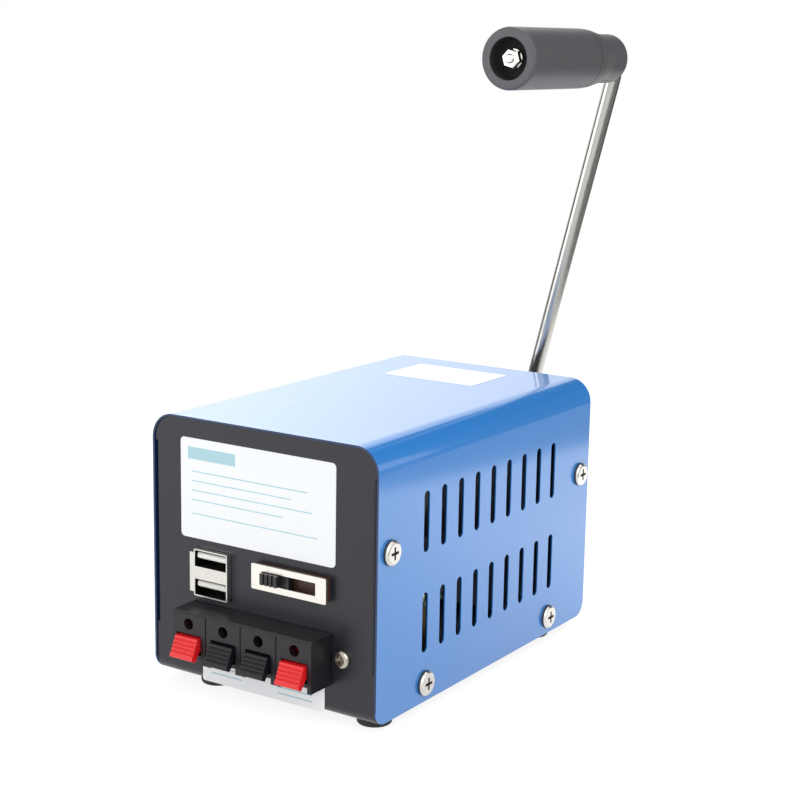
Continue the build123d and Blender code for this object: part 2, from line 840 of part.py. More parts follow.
def make_crank_rod():
    """One bent rod: into the shaft, up the throw, and forward as the grip's spindle and stud."""
    hub_end = hub_y + hub_len
    shoulder_y = grip_floor_y() - axial_clearance
    corners = [
        (0, hub_end - rod_engagement, 0),
        (0, rod_plane_y, 0),
        (0, rod_plane_y, throw),
        (0, shoulder_y, throw),
    ]
    path = FilletPolyline(*corners, radius=rod_bend_r)
    section = Plane(origin=path @ 0, z_dir=path % 0) * Circle(rod_r)
    rod = sweep(section, path=path)
    stud_end = grip_front_y + stud_inset
    stud = rod_y(stud_r, stud_end, shoulder_y, 0, throw)
    stud = chamfer(stud.edges().filter_by(GeomType.CIRCLE).sort_by(Axis.Y)[0], 0.4)
    return lean(rod + stud)


def make_grip_sleeve():
    """The turning barrel of the grip, recessed at its outer end for the nut."""
    sleeve = rod_y(grip_r, grip_front_y, grip_seam_y, 0, throw)
    ends = sleeve.edges().filter_by(GeomType.CIRCLE).sort_by(Axis.Y)
    sleeve = fillet(ends[0], grip_edge_r)
    sleeve -= rod_y(rod_r + running_clearance, grip_front_y - 1, grip_seam_y + 1, 0, throw)
    sleeve -= rod_y(grip_recess_r, grip_front_y - 1, grip_floor_y(), 0, throw)
    return lean(sleeve)


def make_grip_neck():
    """The fixed, tapered neck behind the grip's seam, which is drawn as half a section and revolved."""
    y0 = grip_seam_y + axial_clearance
    bore = rod_r + thread_clearance
    outline = Polyline(
        (bore, y0),
        (grip_r, y0),
        (grip_r - neck_shoulder[1], y0 + neck_shoulder[0]),
        (grip_neck_r, neck_taper_end_y),
        (grip_neck_r, neck_end_y - neck_edge),
        (grip_neck_r - neck_edge, neck_end_y),
        (bore, neck_end_y),
        close=True,
    )
    neck = revolve(make_face(outline), Axis.Y)
    return lean(Pos(0, 0, throw) * neck)


def make_grip_washer():
    y1 = grip_floor_y() - axial_clearance
    washer = rod_y(grip_washer_r, y1 - grip_washer_t, y1, 0, throw)
    return lean(washer - rod_y(stud_r + thread_clearance, y1 - 9, y1 + 9, 0, throw))


def make_grip_nut():
    y1 = grip_floor_y() - axial_clearance - grip_washer_t
    nut = hex_nut(grip_nut_af, grip_nut_h, stud_r + thread_clearance)
    rim = nut.edges().filter_by(GeomType.LINE).group_by(Axis.Z)[-1]
    return lean(Pos(0, y1, throw) * Rot(90, 0, 0) * chamfer(rim, 0.35))


# Gear train


def flank(teeth, module, addendum, dedendum):
    """Polar points, from the root to the tip, of one side of a tooth whose middle is at angle 0."""
    pitch_r = teeth * module / 2
    base_r = pitch_r * math.cos(math.radians(pressure_angle))
    root_r = pitch_r - dedendum * module
    tip_r = pitch_r + addendum * module
    start_r = max(base_r, root_r)
    alpha = math.radians(pressure_angle)
    half = math.pi / 2 / teeth - gear_backlash / 4 / pitch_r + math.tan(alpha) - alpha
    points = [] if root_r >= base_r else [(root_r, half)]
    steps = 3
    for i in range(steps + 1):
        r = start_r + (tip_r - start_r) * i / steps
        roll = math.acos(min(1.0, base_r / r))
        points.append((r, half - (math.tan(roll) - roll)))
    return points


def gear_face(teeth, module, addendum, dedendum, first_angle):
    """A gear's outline with one tooth's middle at first_angle, in degrees from +X."""
    side = flank(teeth, module, addendum, dedendum)
    points = []
    for i in range(teeth):
        middle = math.radians(first_angle) + 2 * math.pi * i / teeth
        tooth = [(r, -a) for r, a in side] + [(r, a) for r, a in reversed(side)]
        points += [(r * math.cos(middle + a), r * math.sin(middle + a)) for r, a in tooth]
    return make_face(Polyline(*points, close=True))


def make_crank_gear():
    """Spur gear with a thin web, lightening holes and a hub, fixed on the crank shaft."""
    face = gear_face(crank_teeth, first_module, gear_addendum, gear_dedendum, layshaft_angle)
    y0, y1 = first_gear_y, first_gear_y + first_gear_w
    gear = along_y(face, y0, y1)
    recess = (first_gear_w - web_t) / 2
    ring = Circle(gear_web_r) - Circle(shaft_hub_r)
    gear -= along_y(ring, y0 - 1, y0 + recess)
    gear -= along_y(ring, y1 - recess, y1 + 1)
    hole_ring = (gear_web_r + shaft_hub_r) / 2
    for i in range(lightening_holes):
        angle = 2 * math.pi * i / lightening_holes
        hole_x, hole_z = hole_ring * math.cos(angle), hole_ring * math.sin(angle)
        gear -= rod_y(lightening_r, y0 - 1, y1 + 1, hole_x, hole_z)
    gear += rod_y(shaft_hub_r, y0 - shaft_hub_len, y0, 0, 0)
    gear -= rod_y(shaft_r, y0 - 9, y1 + 9, 0, 0)
    return Pos(0, 0, shaft_z) * gear


def make_shaft_spacers():
    """Two rings that keep the crank gear between the plates."""
    r = shaft_r + spacer_wall
    hub_end = first_gear_y - shaft_hub_len
    front = rod_y(r, front_plate_back_y + axial_clearance, hub_end, 0, shaft_z)
    rear = rod_y(r, first_gear_y + first_gear_w, rear_plate_y - axial_clearance, 0, shaft_z)
    bore = rod_y(shaft_r, front_plate_y, rear_y, 0, shaft_z)
    return [front - bore, rear - bore]


def make_layshaft_gear():
    """The compound gear: a pinion in mesh with the crank gear and a wheel that drives the generator."""
    pinion_phase = layshaft_angle + 180 + 180 / pinion_teeth
    pinion = gear_face(pinion_teeth, first_module, pinion_addendum, pinion_dedendum, pinion_phase)
    wheel = gear_face(second_teeth, second_module, gear_addendum, gear_dedendum, motor_angle)
    pinion_y0 = first_gear_y - gear_mesh_overlap
    pinion_y1 = first_gear_y + first_gear_w + gear_mesh_overlap
    wheel_y1 = second_gear_y + second_gear_w
    gear = along_y(wheel, second_gear_y, wheel_y1)
    gear += along_y(pinion, pinion_y0, pinion_y1)
    gear += rod_y(gear_hub_r, wheel_y1, pinion_y0, 0, 0)
    gear += rod_y(gear_end_hub_r, front_plate_back_y + axial_clearance, second_gear_y, 0, 0)
    gear += rod_y(gear_end_hub_r, pinion_y1, rear_plate_y - axial_clearance, 0, 0)
    gear -= rod_y(layshaft_r + running_clearance, front_plate_y, rear_y, 0, 0)
    return Pos(layshaft_x, 0, layshaft_z) * gear


def make_layshaft_pin():
    return rod_y(layshaft_r, front_plate_y, rear_inner_y, layshaft_x, layshaft_z)


def make_gear_plate(y0, y1, shaft_hole_r, extra_holes):
    plate = block(-plate_w / 2, plate_w / 2, y0, y1, *plate_z)
    plate = fillet(plate.edges().filter_by(Axis.Y), plate_corner_r)
    plate -= rod_y(shaft_hole_r, y0 - 1, y1 + 1, 0, shaft_z)
    plate -= rod_y(layshaft_r, y0 - 1, y1 + 1, layshaft_x, layshaft_z)
    for x, z in post_places:
        plate -= rod_y(post_screw_r + screw_clearance, y0 - 1, y1 + 1, x, z)
    for x, z, r in extra_holes:
        plate -= rod_y(r, y0 - 1, y1 + 1, x, z)
    return plate


def motor_screw_places():
    spread = motor_screw_pcd / 2
    turn = math.radians(motor_screw_angle)
    step = (spread * math.cos(turn), spread * math.sin(turn))
    return [(motor_x + s * step[0], motor_z + s * step[1]) for s in (-1, 1)]


def make_rear_gear_plate():
    return make_gear_plate(rear_plate_y, rear_inner_y, bush_r + thread_clearance, [])


def make_front_gear_plate():
    holes = [(motor_x, motor_z, motor_boss_r + 0.1)]
    holes += [(x, z, motor_screw_r + screw_clearance) for x, z in motor_screw_places()]
    return make_gear_plate(front_plate_y, front_plate_back_y, shaft_r + running_clearance, holes)


def make_gear_posts():
    posts = []
    for x, z in post_places:
        post = rod_y(post_r, front_plate_back_y, rear_plate_y, x, z)
        posts.append(post - rod_y(post_screw_r + thread_clearance, front_plate_y, rear_y, x, z))
    return posts


def make_post_screws():
    """Pan head screws into both ends of each post, through the rear panel and the front plate."""
    screw = pan_screw(post_screw_r, post_screw_len, cover_head_r, cover_head_h)
    screws = []
    for x, z in post_places:
        screws.append(Pos(x, rear_y, z) * Rot(-90, 0, 0) * screw)
        screws.append(Pos(x, front_plate_y, z) * Rot(90, 0, 0) * screw)
    return screws


def make_shaft_bush():
    """The flanged bearing bush in the rear panel and the rear gear plate."""
    bush = rod_y(bush_r, rear_plate_y, rear_y, 0, shaft_z)
    flange = rod_y(bush_flange_r, rear_y, rear_y + bush_flange_t, 0, shaft_z)
    flange = chamfer(flange.edges().filter_by(GeomType.CIRCLE).sort_by(Axis.Y)[-1], 0.4)
    return bush + flange - rod_y(shaft_r + running_clearance, 0, rear_y + 9, 0, shaft_z)


# Generator


def make_motor_can():
    y1 = front_plate_y
    y0 = y1 - motor_len
    can = rod_y(motor_r, y0, y1, motor_x, motor_z)
    can = fillet(can.edges().filter_by(GeomType.CIRCLE).sort_by(Axis.Y)[-1], motor_edge_r)
    can += rod_y(motor_boss_r, y1, y1 + motor_boss_len, motor_x, motor_z)
    can -= rod_y(motor_shaft_r + running_clearance, y0 + 6, y1 + 9, motor_x, motor_z)
    for x, z in motor_screw_places():
        can -= rod_y(motor_screw_r + thread_clearance, y1 - 4, y1 + 9, x, z)
    return can


def make_motor_cap():
    y1 = motor_end_y
    cap = rod_y(motor_r - 1.0, y1 - motor_cap_len, y1, motor_x, motor_z)
    cap = fillet(cap.edges().filter_by(GeomType.CIRCLE).sort_by(Axis.Y)[0], 1.0)
    boss_y = y1 - motor_cap_len
    return cap + rod_y(motor_boss_r, boss_y - motor_cap_boss_len, boss_y, motor_x, motor_z)


def make_motor_tags():
    y0 = motor_end_y - motor_cap_len
    t, length, height = motor_tag_size
    tags = []
    for side in (-1, 1):
        x = motor_x + side * motor_tag_gap / 2
        tag = block(x - t / 2, x + t / 2, y0 - length, y0, motor_z - height / 2, motor_z + height / 2)
        tags.append(tag - rod_x(height / 6, x - 2, x + 2, y0 - length * 0.62, motor_z))
    return tags


def make_motor_shaft():
    y0 = motor_end_y + 6.5
    y1 = second_gear_y + second_gear_w + gear_mesh_overlap
    return rod_y(motor_shaft_r, y0, y1, motor_x, motor_z)


def make_motor_pinion():
    phase = motor_angle + 180 + 180 / pinion_teeth
    face = gear_face(pinion_teeth, second_module, pinion_addendum, pinion_dedendum, phase)
    y0 = second_gear_y - gear_mesh_overlap
    y1 = second_gear_y + second_gear_w + gear_mesh_overlap
    gear = along_y(face - Circle(motor_shaft_r), y0, y1)
    return Pos(motor_x, 0, motor_z) * gear


def make_motor_screws():
    length = front_plate_t + 3.0
    screw = pan_screw(motor_screw_r, length, panel_head_r, motor_screw_head_h)
    return [Pos(x, front_plate_back_y, z) * Rot(-90, 0, 0) * screw for x, z in motor_screw_places()]


# Charging board


def standoff_places():
    x = board_w / 2 - standoff_inset[0]
    ys = (board_y0 + standoff_inset[1], board_y1 - standoff_inset[1])
    return [(side * x, y) for side in (-1, 1) for y in ys]


def make_board():
    z0 = board_z - board_t
    board = block(-board_w / 2, board_w / 2, board_y0, board_y1, z0, board_z)
    for x, y in standoff_places():
        board -= rod_z(panel_screw_r + screw_clearance, z0 - 1, board_z + 1, x, y)
    return board


def make_standoffs():
    face = RegularPolygon(standoff_r, 6, major_radius=False) - Circle(panel_screw_r + thread_clearance)
    posts = []
    for x, y in standoff_places():
        post = along_z(Pos(x, y) * face, floor_z, board_z - board_t)
        spigot = Circle(spigot_r) - Circle(panel_screw_r + thread_clearance)
        posts.append(post + along_z(Pos(x, y) * spigot, base_z, floor_z))
    return posts


def make_board_screws():
    screw = pan_screw(panel_screw_r, board_screw_len, panel_head_r, panel_head_h)
    return [Pos(x, y, board_z) * screw for x, y in standoff_places()]


def make_capacitors():
    cans = []
    for side_inset, rear_inset, r, height in cap_sizes:
        x, y = side_inset - board_w / 2, board_y1 - rear_inset
        can = rod_z(r, board_z, board_z + height, x, y)
        can = fillet(can.edges().filter_by(GeomType.CIRCLE), cap_edge_r)
        cans.append(can)
    return cans


def make_coil():
    """The wound ring of the charging board's inductor, lying on the board."""
    return Pos(coil_x, (board_y0 + board_y1) / 2, board_z + coil_core_r) * Torus(coil_r, coil_core_r)


def make_heatsink():
    """A finned heatsink, whose flat back takes the regulator."""
    x, y = board_w / 2 - heatsink_at[0], board_y1 - heatsink_at[1]
    w, d, h = heatsink_size
    sink = block(x - w / 2, x + w / 2, y - d / 2, y + d / 2, board_z, board_z + h)
    gap = w / (2 * heatsink_fins - 1)
    for i in range(heatsink_fins - 1):
        x0 = x - w / 2 + gap * (2 * i + 1)
        y0 = y - d / 2 + heatsink_base_t
        sink -= block(x0, x0 + gap, y0, y + d, board_z - 1, board_z + h + 1)
    return sink


def make_regulator():
    """The regulator on the heatsink: its moulded body, metal tab and three legs."""
    x = board_w / 2 - heatsink_at[0]
    y1 = board_y1 - heatsink_at[1] - heatsink_size[1] / 2
    half = regulator_w / 2
    z0, z1 = (board_z + h for h in regulator_z)
    tab_y = y1 - regulator_tab_t
    part = block(x - half, x + half, y1 - regulator_t, tab_y, z0, z1)
    part += block(x - half, x + half, tab_y, y1, z0, board_z + heatsink_size[2])
    leg_y = tab_y - leg_setback
    for i in range(3):
        leg_x = x + (i - 1) * leg_pitch
        part += block(leg_x - leg_w / 2, leg_x + leg_w / 2, leg_y, leg_y + leg_t, board_z, z0)
    return part


def make_bridge():
    x, y = board_w / 2 - bridge_at[0], board_y0 + bridge_at[1]
    w, d, h = bridge_size
    return block(x - w / 2, x + w / 2, y - d / 2, y + d / 2, board_z, board_z + h)


def main():
    os.makedirs("parts", exist_ok=True)
    export("cover", make_cover())
    export("chassis", make_chassis())
    export("cover_screws", *make_cover_screws())
    export("feet", *make_feet())
    export("usb_shell", make_usb_shell())
    export("usb_insulators", *make_usb_insulators())
    export("usb_contacts", *make_usb_contacts())
    export("switch_base", make_switch_base())
    export("switch_plate", make_switch_plate())
    export("switch_slider", make_slider())
    export("switch_lugs", *make_switch_lugs())
    export("terminal_block", make_terminal_block())
    export("terminal_plate", make_terminal_plate())
    export("terminal_contacts", *make_terminal_contacts())
    for i, x in enumerate(cell_xs):
        export(f"terminal_lever_{i + 1}", make_lever(x))
    export("panel_screws", *make_panel_screws())
    export("panel_nuts", *make_panel_nuts())
    export("crank_shaft", make_crank_shaft())
    export("crank_hub", make_crank_hub())
    export("hub_screw", make_hub_screw())
    export("crank_rod", make_crank_rod())
    export("grip_sleeve", make_grip_sleeve())
    export("grip_neck", make_grip_neck())
    export("grip_washer", make_grip_washer())
    export("grip_nut", make_grip_nut())
    export("crank_gear", make_crank_gear())
    export("shaft_spacers", *make_shaft_spacers())
    export("layshaft_gear", make_layshaft_gear())
    export("layshaft_pin", make_layshaft_pin())
    export("rear_gear_plate", make_rear_gear_plate())
    export("front_gear_plate", make_front_gear_plate())
    export("gear_posts", *make_gear_posts())
    export("post_screws", *make_post_screws())
    export("shaft_bush", make_shaft_bush())
    export("motor_can", make_motor_can())
    export("motor_cap", make_motor_cap())
    export("motor_tags", *make_motor_tags())
    export("motor_shaft", make_motor_shaft())
    export("motor_pinion", make_motor_pinion())
    export("motor_screws", *make_motor_screws())
    export("board", make_board())
    export("board_standoffs", *make_standoffs())
    export("board_screws", *make_board_screws())
    export("capacitors", *make_capacitors())
    export("coil", make_coil())
    export("heatsink", make_heatsink())
    export("regulator", make_regulator())
    export("bridge_rectifier", make_bridge())


main()
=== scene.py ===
# %% [markdown]
# # Dressing a hand crank charger
# The charger's solids come from a CAD program and already have the right shapes, sizes and joints. This
# notebook gives every solid a finish, adds the paper labels that are too thin for the solids, and sets up a
# small photo studio. Each step is explained first, for a reader who is learning Blender's Python.

# %% Load the fixed frame
import math

import bmesh
import bpy
from mathutils import Matrix, Vector


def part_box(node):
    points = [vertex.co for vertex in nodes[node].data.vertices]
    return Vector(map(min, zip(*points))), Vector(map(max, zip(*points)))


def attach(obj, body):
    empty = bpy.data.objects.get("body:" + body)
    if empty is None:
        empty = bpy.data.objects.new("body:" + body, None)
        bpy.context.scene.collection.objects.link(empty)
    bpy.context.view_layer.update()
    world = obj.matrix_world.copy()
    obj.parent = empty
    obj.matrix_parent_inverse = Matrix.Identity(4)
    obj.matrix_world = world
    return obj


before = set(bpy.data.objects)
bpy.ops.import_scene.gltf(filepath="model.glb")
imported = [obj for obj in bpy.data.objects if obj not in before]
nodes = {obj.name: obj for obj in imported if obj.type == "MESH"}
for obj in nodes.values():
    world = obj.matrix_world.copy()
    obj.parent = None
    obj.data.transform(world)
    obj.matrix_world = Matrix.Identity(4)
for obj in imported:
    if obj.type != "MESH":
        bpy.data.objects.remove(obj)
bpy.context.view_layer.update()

MM = 0.001
cover_lo, cover_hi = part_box("cover")
housing = Vector(((cover_lo.x + cover_hi.x) / 2, (cover_lo.y + cover_hi.y) / 2, 0))
print(len(nodes), "solids, housing", [round(v / MM, 1) for v in cover_hi - cover_lo], "mm")

# %% [markdown]
# ## A short way to write shaders
# A shader is a net of nodes, and wiring it by hand takes many lines. The class `Wire` stands for one output
# socket. Python calls `__add__` when it meets a plus sign, so adding two wires can add a Math node. The
# reflected forms, such as `__rsub__`, let a plain number stand on the left, as in `1 - mask`. The class
# `Finish` holds one material and has a single method that makes any other node.

# %% Wires and finishes
def net_node(net, kind, settings=None, inputs=None):
    """A node in a net, with its settings and then the values or links of its inputs."""
    made = net.nodes.new(kind)
    for key, value in (settings or {}).items():
        setattr(made, key, value)
    for key, value in (inputs or {}).items():
        if isinstance(value, bpy.types.NodeSocket):
            net.links.new(value, made.inputs[key])
        else:
            made.inputs[key].default_value = value
    return made


class Wire:
    """One output socket, with arithmetic that adds Math nodes."""

    def __init__(self, finish, socket):
        self.finish = finish
        self.socket = socket

    def math(self, operation, left, right):
        return self.finish.node("ShaderNodeMath", {"operation": operation}, {0: left, 1: right})

    def __add__(self, other):
        return self.math("ADD", self, other)

    def __radd__(self, other):
        return self.math("ADD", other, self)

    def __sub__(self, other):
        return self.math("SUBTRACT", self, other)

    def __rsub__(self, other):
        return self.math("SUBTRACT", other, self)

    def __mul__(self, other):
        return self.math("MULTIPLY", self, other)

    def __rmul__(self, other):
        return self.math("MULTIPLY", other, self)

    def __gt__(self, other):
        return self.math("GREATER_THAN", self, other)

    def __lt__(self, other):
        return self.math("LESS_THAN", self, other)

    def __abs__(self):
        return self.math("ABSOLUTE", self, 0.0)

    def most(self, other):
        """The larger of two values."""
        return self.math("MAXIMUM", self, other)

    def root(self):
        """The square root."""
        return self.math("SQRT", self, 0.0)


class Finish:
    """A material with a Principled shader, whose constants are set on its own sockets."""

    def __init__(self, name, colour, roughness, **constants):
        self.material = bpy.data.materials.new(name)
        self.material.use_nodes = True
        self.tree = self.material.node_tree
        self.shader = self.tree.nodes["Principled BSDF"]
        self.feed("Base Color", (*colour, 1))
        self.feed("Roughness", roughness)
        for socket, value in constants.items():
            self.feed(socket.replace("_", " ").title().replace("Ior", "IOR"), value)

    def feed(self, socket, value):
        """Give the shader's socket a wire or a plain value."""
        target = self.shader.inputs[socket]
        if isinstance(value, Wire):
            self.tree.links.new(value.socket, target)
        else:
            target.default_value = value

    def node(self, kind, settings=None, inputs=None, output=0):
        """Any node, with its settings, then the values or wires of its inputs, as a wire of one output."""
        bare = {key: getattr(value, "socket", value) for key, value in (inputs or {}).items()}
        return Wire(self, net_node(self.tree, kind, settings, bare).outputs[output])

    def axes(self, names="XYZ"):
        """The named Object coordinates in metres, a wire for each."""
        where = self.node("ShaderNodeTexCoord", output="Object")
        return [self.node("ShaderNodeSeparateXYZ", None, {0: where}, name) for name in names]

    def noise(self, per_metre, detail=2.0, stretch=(1, 1, 1)):
        """Noise with so many bumps per metre, drawn out along the axes with the smaller stretch."""
        where = self.node("ShaderNodeTexCoord", output="Object")
        where = self.node("ShaderNodeMapping", None, {"Vector": where, "Scale": stretch})
        return self.node("ShaderNodeTexNoise", None, {"Vector": where, "Scale": per_metre, "Detail": detail})

    def mix(self, mask, first, second):
        """A colour between first and second, as the mask goes from 0 to 1."""
        return self.node("ShaderNodeMix", {"data_type": "RGBA"}, {0: mask, 6: first, 7: second}, 2)

    def mottle(self, mask, colour, darker, lighter):
        """A colour that wanders between two shades of itself."""
        return self.mix(mask, shade(colour, darker), shade(colour, lighter))

    def bump(self, height, strength, distance):
        """Roughen the surface by a height, with a strength from 0 to 1 and a depth in metres."""
        self.feed("Normal", self.node("ShaderNodeBump", None, {
            "Height": height, "Strength": strength, "Distance": distance}))

    def wear(self, *names):
        """Put this finish on CAD nodes by name."""
        for name in names:
            mesh = nodes[name].data
            mesh.materials.clear()
            mesh.materials.append(self.material)
        print(self.material.name, "on", ", ".join(names))


def shade(colour, factor):
    """A colour made lighter or darker, with its alpha of 1 added."""
    return (*(min(1.0, part * factor) for part in colour), 1)


print("shader helpers ready")

# %% [markdown]
# ## Blue enamel
# The cover is bent steel sheet with stoved enamel. Such paint is a coloured layer under a clear, hard
# surface, so the Principled shader's coat does the shine while the base stays fairly rough. Under a white
# room the coat adds a pale veil that grows towards the edges, which is why the top looks almost white from
# low down. A stoved surface is never quite flat: a faint, wide bump gives the ripple that painters call
# orange peel. All three noises are counted in bumps per metre.

# %% Enamel on the cover
BLUE = (0.016, 0.22, 0.65)
CLOUDS, GRAIN, PEEL = 14.0, 420.0, 900.0
PEEL_DEPTH = 0.2 * MM
enamel = Finish("blue_enamel", BLUE, 0.38, coat_weight=1.0, coat_roughness=0.08, coat_ior=1.65)
unshaded_blue = enamel.mottle(enamel.noise(CLOUDS), BLUE, 0.95, 1.05)
enamel.feed("Roughness", 0.34 + enamel.noise(GRAIN) * 0.08)
enamel.bump(enamel.noise(PEEL, 1.0), 0.06, PEEL_DEPTH)
print("enamel mixed from", BLUE)

# %% [markdown]
# ## Painted shade inside the cover
# The inside of the cover, its cut edges and the walls of its vents lie in shade, so they are painted a dark
# blue
# with a thin coat: a painted shade. A mask finds them by depth: how far a point lies under the rounded outer
# skin. Across the sheet that is the distance to a rounded box, which needs no more than two offsets and a
# length. The two long cut edges at the panels lie at the cover's ends, so their distance from its middle
# finds them.

# %% Painted shade on edges and inside
BEND_R = 8.0 * MM
SKIN_T = 0.3 * MM
CUT_T = 0.05 * MM
# A dark blue for the painted shade on the cover's inside, cut edges and vent walls.
PAINTED_SHADE_BLUE = (0.004, 0.022, 0.08, 1)
cover_mid = (cover_lo + cover_hi) / 2
cover_half = (cover_hi - cover_lo) / 2
x, y, z = enamel.axes()
across = (abs(x - cover_mid.x) - (cover_half.x - BEND_R)).most(0.0)
above = (z - (cover_hi.z - BEND_R)).most(0.0)
skin = (across * across + above * above).root() - BEND_R
cut_edge = abs(y - cover_mid.y) > cover_half.y - CUT_T
# The painted shade goes under the skin and on the cut edges, with a thinner coat there.
painted_shade = (skin < -SKIN_T).most(cut_edge)
enamel.feed("Base Color", enamel.mix(painted_shade, unshaded_blue, PAINTED_SHADE_BLUE))
enamel.feed("Coat Weight", 1 - painted_shade * 0.85)
enamel.wear("cover")

# %% [markdown]
# ## Black enamel and moulded plastics
# The folded chassis shows as the front and rear panels. Its paint is thinner and less glossy than the
# cover's. Black plastics all look alike in a flat colour, so each gets its own grain: a fine even spark
# texture for the terminal block, and a softer one for the grip, which hands polish. Grains are counted per
# metre, and their depths are in metres. The same helper, with other colours, makes rubber and board.

# %% Dark finishes
def moulded(name, colour, roughness, grain, depth, **constants):
    """A moulded plastic with a spark eroded grain. Its tone and dullness are kept for a mask to change."""
    made = Finish(name, colour, roughness, **constants)
    texture = made.noise(grain, 3.0)
    made.tone = made.mottle(texture, colour, 0.85, 1.15)
    made.dullness = roughness - 0.06 + texture * 0.12
    made.feed("Base Color", made.tone)
    made.feed("Roughness", made.dullness)
    made.bump(texture, 0.35, depth)
    return made


# name, colour, roughness, grains per metre, depth of the grain, other constants
moulded("black_enamel", (0.016, 0.016, 0.023), 0.36, 1500.0, 0.00004, coat_weight=0.2,
        coat_roughness=0.25, specular_ior_level=0.35).wear("chassis")
moulded("terminal_black", (0.011, 0.009, 0.012), 0.42, 2600.0, 0.00003, specular_ior_level=0.4).wear(
    "terminal_block")
moulded("lever_black", (0.005, 0.0055, 0.008), 0.45, 2600.0, 0.00006, specular_ior_level=0.25).wear(
    "terminal_lever_2", "terminal_lever_3")
GRIP_BLACK = (0.072, 0.073, 0.08)
moulded("grip_black", GRIP_BLACK, 0.5, 2200.0, 0.00007, specular_ior_level=0.6).wear("grip_neck")
moulded("switch_black", (0.012, 0.012, 0.013), 0.4, 3000.0, 0.00004).wear("switch_slider")
moulded("terminal_red", (0.72, 0.01, 0.014), 0.36, 2600.0, 0.00005, specular_ior_level=0.35).wear(
    "terminal_lever_1", "terminal_lever_4")
moulded("component_black", (0.02, 0.02, 0.022), 0.5, 2400.0, 0.00005).wear(
    "regulator", "bridge_rectifier", "motor_cap")
moulded("foot_rubber", (0.018, 0.018, 0.018), 0.7, 1800.0, 0.0001).wear("feet")
moulded("socket_white", (0.78, 0.77, 0.73), 0.45, 1500.0, 0.00003).wear("usb_insulators")
moulded("phenolic_board", (0.16, 0.06, 0.025), 0.5, 900.0, 0.00005).wear("terminal_plate")
# The switch base's phenolic is painted darker than the plate's: a painted shade for its place deep in the
# switch's slot.
moulded("shaded_phenolic", (0.06, 0.024, 0.012), 0.5, 900.0, 0.00005).wear("switch_base")
moulded("circuit_green", (0.02, 0.16, 0.06), 0.35, 700.0, 0.00003, coat_weight=0.5).wear("board")

# %% [markdown]
# ## The grip and its well
# The grip is polished by hands outside. In the well at its outer end, where the nut sits, the plastic is
# painted nearly black and made rougher: a painted shade for the dark recess. The well is everything within
# one radius of the grip's axis and behind its end face. The axis and the end face come from the solid's own
# box.

# %% Grip with painted shade in its well
WELL_R = 6.9 * MM
WELL_START = 0.3 * MM
# Nearly black, a painted shade for the inside of the grip's well.
WELL_SHADE = (0.004, 0.004, 0.005, 1)
grip = moulded("grip_sleeve_black", GRIP_BLACK, 0.5, 2200.0, 0.00007, specular_ior_level=0.6)
grip_lo, grip_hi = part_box("grip_sleeve")
grip_mid = (grip_lo + grip_hi) / 2
x, y, z = grip.axes()
beside, over = x - grip_mid.x, z - grip_mid.z
shaded_well = ((beside * beside + over * over).root() < WELL_R) * (y > grip_lo.y + WELL_START)
grip.feed("Base Color", grip.mix(shaded_well, grip.tone, WELL_SHADE))
grip.feed("Roughness", grip.dullness + shaded_well * 0.4)
grip.wear("grip_sleeve")

# %% [markdown]
# ## Metals
# A metal has no colour of its own under the surface: it only mirrors the room, tinted. What tells nickel
# from turned steel is how its marks run. Noise that is stretched hard along one direction gives fine lines,
# and the lines vary the roughness as well as the bump, because a scratch scatters light.

# %% Metal finishes
EVEN = (1, 1, 1)
NICKEL = (0.78, 0.76, 0.72)
METAL_SHADES = (0.88, 1.08)
MARK_STRENGTH, MARK_DEPTH = 0.25, 0.02 * MM


def metal(name, colour, roughness, grain, stretch, spread=0.12):
    """A metal whose marks are drawn out, and whose roughness spreads around a middle value."""
    made = Finish(name, colour, roughness, metallic=1.0)
    marks = made.noise(grain, 4.0, stretch)
    made.feed("Base Color", made.mottle(marks, colour, *METAL_SHADES))
    made.feed("Roughness", roughness - spread / 2 + marks * spread)
    made.bump(marks, MARK_STRENGTH, MARK_DEPTH)
    return made


# name, colour, roughness, marks per metre, stretch of the marks, spread of the roughness
metal("bright_nickel", NICKEL, 0.2, 900.0, EVEN).wear(
    "panel_nuts", "post_screws", "motor_screws", "board_screws", "grip_nut", "grip_washer")
metal("aged_nickel", (0.5, 0.46, 0.4), 0.22, 900.0, EVEN).wear("panel_screws")
metal("switch_bezel", (0.84, 0.81, 0.75), 0.3, 1200.0, (0.08, 1, 1)).wear("switch_plate")
metal("drawn_rod", (0.5, 0.49, 0.465), 0.22, 1600.0, (1, 1, 0.05), 0.2).wear("crank_rod")
metal("turned_steel", (0.5, 0.5, 0.5), 0.32, 1500.0, (1, 0.1, 1)).wear(
    "crank_shaft", "crank_hub", "motor_shaft", "layshaft_pin", "gear_posts")
metal("hobbed_steel", (0.42, 0.42, 0.43), 0.38, 1200.0, (1, 0.2, 1)).wear("crank_gear", "layshaft_gear")
metal("plated_sheet", (0.62, 0.61, 0.58), 0.34, 500.0, (1, 1, 0.15)).wear(
    "rear_gear_plate", "front_gear_plate", "motor_can")
metal("blackened_steel", (0.08, 0.08, 0.085), 0.4, 1500.0, EVEN).wear("hub_screw")
metal("turned_brass", (0.72, 0.52, 0.22), 0.28, 1500.0, (1, 0.2, 1)).wear(
    "shaft_bush", "shaft_spacers", "motor_pinion")
# A dark brass on the board's standoffs.
metal("dark_brass", (0.16, 0.12, 0.06), 0.45, 1500.0, (1, 1, 0.2)).wear("board_standoffs")
metal("contact_brass", (0.74, 0.56, 0.27), 0.3, 1500.0, (0.2, 1, 1)).wear(
    "usb_contacts", "switch_lugs", "terminal_contacts", "motor_tags")
metal("anodised_alloy", (0.6, 0.6, 0.62), 0.36, 1500.0, (1, 1, 0.1)).wear("heatsink")
metal("ferrite", (0.1, 0.09, 0.085), 0.6, 900.0, EVEN).wear("coil")
